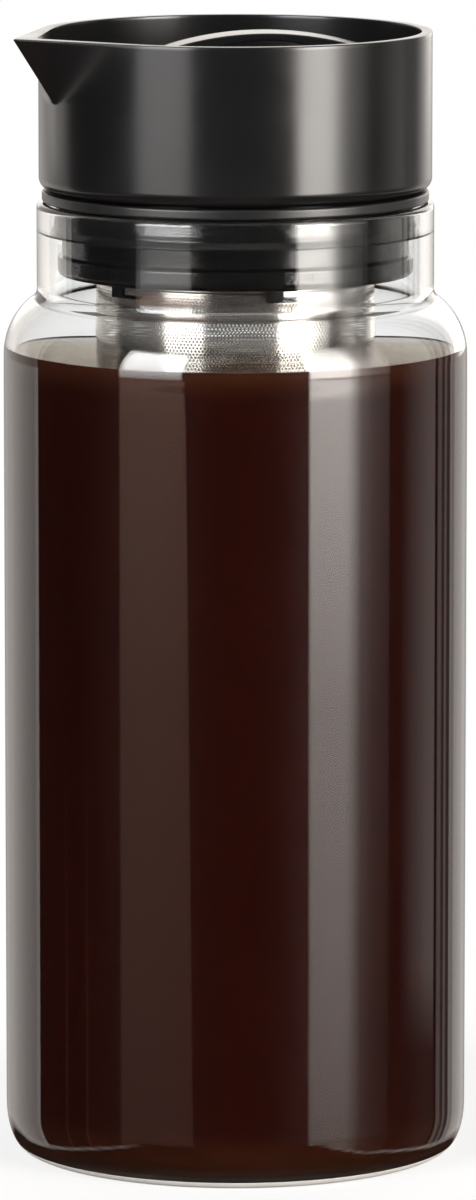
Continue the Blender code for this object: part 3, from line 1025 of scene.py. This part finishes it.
def build_filter_rim(metal):
    outline = rounded(
        (rim_flange_radius, rim_top, edge_round),
        (rim_flange_radius, rim_flange_bottom, edge_round),
        (rim_skirt_radius, rim_flange_bottom, tiny_round),
        (rim_skirt_radius, rim_skirt_bottom, small_round),
        (rim_bore, rim_skirt_bottom, small_round),
        (rim_bore, rim_top, soft_round),
    )
    mesh = lathe_mesh("filter_mouth", outline, narrow_steps)
    root = rim_flange_radius - lug_root
    bend = rim_flange_radius + lug_sheet / 2
    reach = rim_flange_radius + lug_reach
    tab_top = rim_top - lug_inset
    tab_bottom = rim_top - lug_height
    root_bottom = rim_flange_bottom + lug_inset
    profile = rounded(
        (root, tab_top, 0.0),
        (reach, tab_top, edge_round),
        (reach, tab_bottom, tiny_round),
        (bend, tab_bottom, tiny_round),
        (bend, root_bottom, 0.0),
        (root, root_bottom, 0.0),
        segments=3,
    )
    lug_middle = rim_flange_radius + lug_reach / 2
    width = math.degrees(lug_length / lug_middle)
    post = math.degrees(hook_post / lug_middle)
    lugs = bmesh.new()
    for angle in hook_angles:
        add_swept(lugs, profile, angle + post / 2, width, 8)
    mesh = boolean_with(mesh, lugs, "UNION")
    link("filter_mouth", mesh, [metal], "filter", ["filter_rim"])


def build_filter_tube(metal):
    inner = filter_radius - filter_sheet
    outline = [
        (filter_radius, filter_tube_top),
        (filter_radius, filter_tube_bottom),
        (inner, filter_tube_bottom),
        (inner, filter_tube_top),
    ]
    mesh = lathe_mesh("filter_sleeve", outline, narrow_steps)
    link("filter_sleeve", mesh, [metal], "filter", ["filter_tube"])


def build_filter_foot(metal):
    outline = rounded(
        (0.0, foot_floor_top, 0.0),
        (foot_inner, foot_floor_top, foot_floor_round),
        (foot_inner, foot_top, small_round),
        (foot_outer, foot_top, small_round),
        (foot_outer, foot_bottom, foot_round),
        (0.0, foot_bottom, 0.0),
        closed=False,
        segments=8,
    )
    mesh = lathe_mesh("filter_cup", outline, narrow_steps)
    link("filter_cup", mesh, [metal], "filter", ["filter_foot"])


# Stage and studio

def seen_directly(tree):
    """1 for a ray from the eye, also straight through glass; 0 once it has been reflected."""
    path = tree.nodes.new("ShaderNodeLightPath")
    bounces = maths(tree, "ADD", path.outputs["Glossy Depth"], path.outputs["Diffuse Depth"])
    straight = maths(tree, "LESS_THAN", bounces, 0.5)
    through = maths(tree, "MULTIPLY", path.outputs["Is Transmission Ray"], straight)
    return straight, maths(tree, "MAXIMUM", path.outputs["Is Camera Ray"], through)


def mix_shader(tree, share, first, second):
    inputs = {"Fac": share, 1: first.outputs[0], 2: second.outputs[0]}
    return add_node(tree, "ShaderNodeMixShader", inputs)


def build_floor():
    """Pale table: white to the eye, with the object's soft shadow near it."""
    built = bmesh.new()
    bmesh.ops.create_circle(built, cap_ends=True, segments=96, radius=table_radius)
    mesh = finished_mesh("table", built)
    floor = new_object("table", mesh)
    floor.visible_glossy = False
    floor.visible_shadow = False
    made = bpy.data.materials.new("table_white")
    made.use_nodes = True
    tree = made.node_tree
    tree.nodes.clear()
    output = tree.nodes.new("ShaderNodeOutputMaterial")
    diffuse = add_node(tree, "ShaderNodeBsdfDiffuse", {"Color": (*table_colour, 1.0)})
    white = add_node(tree, "ShaderNodeEmission", {"Strength": 1.0})
    straight, seen = seen_directly(tree)
    spot = object_coordinates(tree)
    length = add_node(tree, "ShaderNodeVectorMath", {0: spot}, operation="LENGTH")
    plain = map_range(tree, length.outputs["Value"], shadow_near, shadow_far, shadow_white, 1.0)
    lit = mix_shader(tree, maths(tree, "MULTIPLY", seen, plain), diffuse, white)
    unseen = tree.nodes.new("ShaderNodeBsdfTransparent")
    only_straight = mix_shader(tree, straight, unseen, lit)
    tree.links.new(only_straight.outputs[0], output.inputs["Surface"])
    mesh.materials.append(made)


# The table: how far from the middle its shadow shows, and how white it stays there
table_radius = 3.0
table_colour = (0.86, 0.86, 0.86)
shadow_near = 0.09
shadow_far = 0.24
shadow_white = 0.72

# Soft lights round the object. Each has its colour and its brightness by azimuth (degrees to the
# right of the camera's side) and by the sine of elevation
behind = ((-180.0, 1.0), (-168.0, 1.0), (-160.0, 0.0), (160.0, 0.0), (168.0, 1.0), (180.0, 1.0))
studio_lights = (
    (
        warm,
        ((36.0, 0.0), (38.0, 1.0), (57.0, 1.0), (65.0, 0.22), (72.0, 0.10), (82.0, 0.05), (83.0, 0.0)),
        (
            (-0.22, 1.3), (-0.165, 3.8), (-0.13, 8.0), (-0.1212, 8.2), (-0.1197, 9.4),
            (-0.1182, 11.5), (-0.1177, 13.5), (-0.1171, 13.5), (-0.1166, 6.6), (-0.104, 6.6),
            (-0.098, 9.5), (-0.08, 16.0), (-0.05, 22.0), (0.2, 22.0), (0.6, 7.0), (0.64, 0.0),
        ),
    ),
    (
        neutral,
        ((-60.0, 0.0), (-58.5, 1.0), (-27.2, 1.0), (-25.8, 0.0)),
        (
            (-0.1185, 0.0), (-0.1169, 0.2), (-0.1162, 1.3), (-0.1143, 1.3), (-0.1133, 0.65),
            (-0.1055, 0.65), (-0.1035, 1.4), (-0.1, 2.0), (-0.07, 4.0), (0.13, 10.0),
            (0.3, 15.0), (0.52, 15.0), (0.58, 0.0),
        ),
    ),
    (
        amber,
        ((-60.0, 0.0), (-58.5, 1.0), (-20.0, 1.0), (-19.0, 0.0)),
        ((-0.22, 0.3), (-0.165, 0.6), (-0.1235, 1.2), (-0.1172, 1.2), (-0.1166, 0.0)),
        "leaning",
    ),
    (neutral, behind, ((-0.05, 0.0), (0.03, 1.3), (0.1, 1.3), (0.108, 0.0))),
    (cream, behind, ((0.1, 0.0), (0.108, 1.3), (0.16, 1.3), (0.22, 0.0))),
    (neutral, behind, ((0.16, 0.0), (0.22, 1.0), (0.4, 1.0), (0.6, 0.0))),
    (
        warm,
        ((144.0, 0.0), (150.0, 1.0), (164.0, 1.0), (168.0, 0.0)),
        ((-0.095, 0.0), (-0.085, 1.7), (0.4, 1.7), (0.6, 0.0)),
    ),
    (
        warm,
        ((90.0, 0.0), (100.0, 0.5), (110.0, 0.85), (117.5, 0.85), (118.5, 0.0)),
        ((-0.9, 0.1), (-0.205, 0.1), (-0.195, 0.8), (0.5, 0.85), (0.9, 0.0)),
    ),
    (
        amber,
        ((-94.4, 0.0), (-93.6, 1.0), (-92.8, 0.0), (-80.6, 0.0), (-79.6, 1.0), (-78.6, 0.0)),
        ((-0.24, 0.45), (-0.2, 0.25), (-0.16, 0.0)),
    ),
    (
        warm,
        (
            (-158.0, 0.0), (-149.0, 0.2), (-137.0, 0.35), (-126.0, 0.42),
            (-119.0, 0.45), (-118.0, 0.75), (-115.8, 0.75), (-115.2, 0.0),
        ),
        ((-0.9, 1.0), (-0.12, 1.0), (-0.105, 0.0)),
    ),
)
# The room behind the object, by azimuth
rear_wall = (
    (-180.0, 0.45), (-170.0, 0.45), (-162.0, 0.8), (-149.0, 0.85), (-137.0, 0.75), (-126.0, 0.62),
    (-119.0, 0.55), (-118.0, 0.68), (-115.8, 0.68), (-115.2, 0.0), (120.0, 0.0), (121.5, 0.5),
    (124.0, 0.5), (125.5, 0.1), (127.5, 0.1), (128.5, 0.5), (130.0, 0.5), (131.0, 0.1), (134.0, 0.1),
    (135.5, 0.9), (139.0, 0.6), (142.0, 1.1), (160.0, 1.0), (170.0, 0.45), (180.0, 0.45),
)
# The table's edge as the foot mirrors it: sine of elevation by azimuth, dark below, and the light
# line along it
table_edge = (
    (-180.0, -0.24), (-155.0, -0.26), (-146.0, -0.30), (-138.0, -0.36), (-126.0, -0.405),
    (-113.0, -0.43), (-97.0, -0.43), (-85.0, -0.405), (-72.0, -0.37), (-62.0, -0.33),
    (-50.0, -0.28), (45.0, -0.28), (58.0, -0.36), (71.0, -0.43), (95.0, -0.45),
    (110.0, -0.448), (126.0, -0.426), (141.0, -0.37), (155.0, -0.31), (180.0, -0.24),
)
edge_line = (
    (-180.0, 0.3), (-158.0, 0.5), (-140.0, 0.8), (-118.0, 1.5), (-60.0, 1.5), (-48.0, 0.0),
    (42.0, 0.0), (52.0, 1.5), (118.0, 1.5), (140.0, 0.8), (158.0, 0.5), (180.0, 0.3),
)
edge_softness = 0.03
edge_line_reach = 0.035
# The right edge of the amber panel leans: degrees to the right per unit of sine, and where it
# stands at the height of the eye
panel_lean = 40.0
panel_edge = -29.8
panel_softness = 0.75
room_light = 0.012
ceiling_light = 0.7
ceiling_from = 0.55
ceiling_full = 0.95
under_table = (0.020, 0.006, 0.003)
table_glow = (0.12, 0.08, 0.055)
glow_from = -0.6
glow_full = -0.8


def piecewise(tree, value, points):
    """Straight runs between (value, level) points, flat beyond the ends."""
    level = points[0][1]
    for (low, low_level), (high, high_level) in zip(points, points[1:]):
        if high_level == low_level:
            continue
        step = map_range(tree, value, low, high, 0.0, high_level - low_level, smooth=False)
        level = maths(tree, "ADD", step, level)
    return level


def scaled(tree, colour, level):
    inputs = {0: colour, "Scale": level}
    return add_node(tree, "ShaderNodeVectorMath", inputs, operation="SCALE").outputs[0]


def coloured(tree, colour, level, total):
    """The running total of light with one more light of a colour."""
    light = scaled(tree, colour, level)
    if total is None:
        return light
    return add_node(tree, "ShaderNodeVectorMath", {0: total, 1: light}, operation="ADD").outputs[0]


def build_world():
    """White backdrop to the eye and through the glass; soft lights in a darker room in reflections."""
    world = bpy.data.worlds.new("studio")
    bpy.context.scene.world = world
    world.use_nodes = True
    tree = world.node_tree
    tree.nodes.clear()
    output = tree.nodes.new("ShaderNodeOutputWorld")
    direction = tree.nodes.new("ShaderNodeTexCoord").outputs["Generated"]
    facing = math.radians(camera_azimuth - 90.0)
    parts = []
    for way in ((math.cos(facing), math.sin(facing), 0.0), (-math.sin(facing), math.cos(facing), 0.0)):
        dot = add_node(tree, "ShaderNodeVectorMath", {0: direction, 1: way}, operation="DOT_PRODUCT")
        parts.append(dot.outputs["Value"])
    turn = maths(tree, "MULTIPLY", maths(tree, "ARCTAN2", parts[1], parts[0]), 180.0 / math.pi)
    height = axes(tree, direction)["Z"]
    overhead = map_range(tree, height, ceiling_from, ceiling_full, 0.0, ceiling_light)
    total = coloured(tree, warm, maths(tree, "MAXIMUM", piecewise(tree, turn, rear_wall), overhead), None)
    leaning = maths(tree, "MULTIPLY_ADD", height, panel_lean, turn)
    panel_cut = map_range(tree, leaning, panel_edge - panel_softness, panel_edge + panel_softness, 1.0, 0.0)
    for colour, azimuths, heights, *form in studio_lights:
        level = maths(tree, "MULTIPLY", piecewise(tree, turn, azimuths), piecewise(tree, height, heights))
        if form:
            level = maths(tree, "MULTIPLY", level, panel_cut)
        total = coloured(tree, colour, level, total)
    above_edge = maths(tree, "SUBTRACT", height, piecewise(tree, turn, table_edge))
    total = scaled(tree, total, map_range(tree, above_edge, 0.0, edge_softness))
    near_edge = map_range(tree, maths(tree, "ABSOLUTE", above_edge), edge_line_reach, 0.0)
    line = maths(tree, "MULTIPLY", near_edge, piecewise(tree, turn, edge_line))
    total = coloured(tree, warm, maths(tree, "ADD", line, room_light), total)
    total = coloured(tree, under_table, map_range(tree, above_edge, 0.0, -edge_softness), total)
    total = coloured(tree, table_glow, map_range(tree, height, glow_from, glow_full), total)
    _, seen = seen_directly(tree)
    shown = colour_between(tree, seen, total, neutral)
    background = add_node(tree, "ShaderNodeBackground", {"Color": shown, "Strength": 1.0})
    tree.links.new(background.outputs[0], output.inputs["Surface"])


def build_camera():
    data = bpy.data.cameras.new("camera")
    data.lens = camera_lens
    data.sensor_width = camera_sensor
    data.clip_start = 0.05
    data.clip_end = 50.0
    camera = new_object("camera", data)
    turn = math.radians(camera_azimuth)
    camera.location = (
        math.sin(turn) * camera_distance + math.cos(turn) * camera_aside,
        -math.cos(turn) * camera_distance + math.sin(turn) * camera_aside,
        camera_height,
    )
    camera.rotation_euler = (math.radians(90.0 - camera_pitch), 0.0, turn)
    bpy.context.scene.camera = camera


def build():
    build_camera()
    satin = moulded_plastic(
        "satin_black", (0.0050, 0.0050, 0.0052), (0.0062, 0.0062, 0.0064),
        roughness=0.21, grain_scale=2600.0, grain_depth=0.000006,
    )
    gloss = moulded_plastic(
        "gloss_black", (0.0050, 0.0050, 0.0054), (0.0062, 0.0062, 0.0066),
        roughness=0.18, grain_scale=2000.0, grain_depth=0.000003,
    )
    silicone = rubber("black_silicone", (0.007, 0.007, 0.0073), roughness=0.34)
    seal_silicone = rubber("seal_silicone", (0.006, 0.006, 0.0063), roughness=0.20)
    bright = steel("rolled_steel", roughness=0.22)
    mesh_steel = steel("perforated_steel", roughness=0.16, perforated=True)
    side, top = coffee_materials()
    build_carafe(clear_glass(), foot_painted_light())
    build_coffee(side, top)
    build_rim_gasket(silicone)
    build_collar(satin)
    build_core(gloss)
    build_stopper_seal(seal_silicone)
    build_shutter_gasket(silicone)
    build_cap(satin)
    build_pin(gloss)
    build_grip(satin)
    build_carrier(gloss)
    build_filter_seal(silicone)
    build_filter_rim(bright)
    build_filter_tube(mesh_steel)
    build_filter_foot(bright)
    build_floor()
    build_world()
    bpy.context.scene.view_settings.view_transform = "Standard"


build()
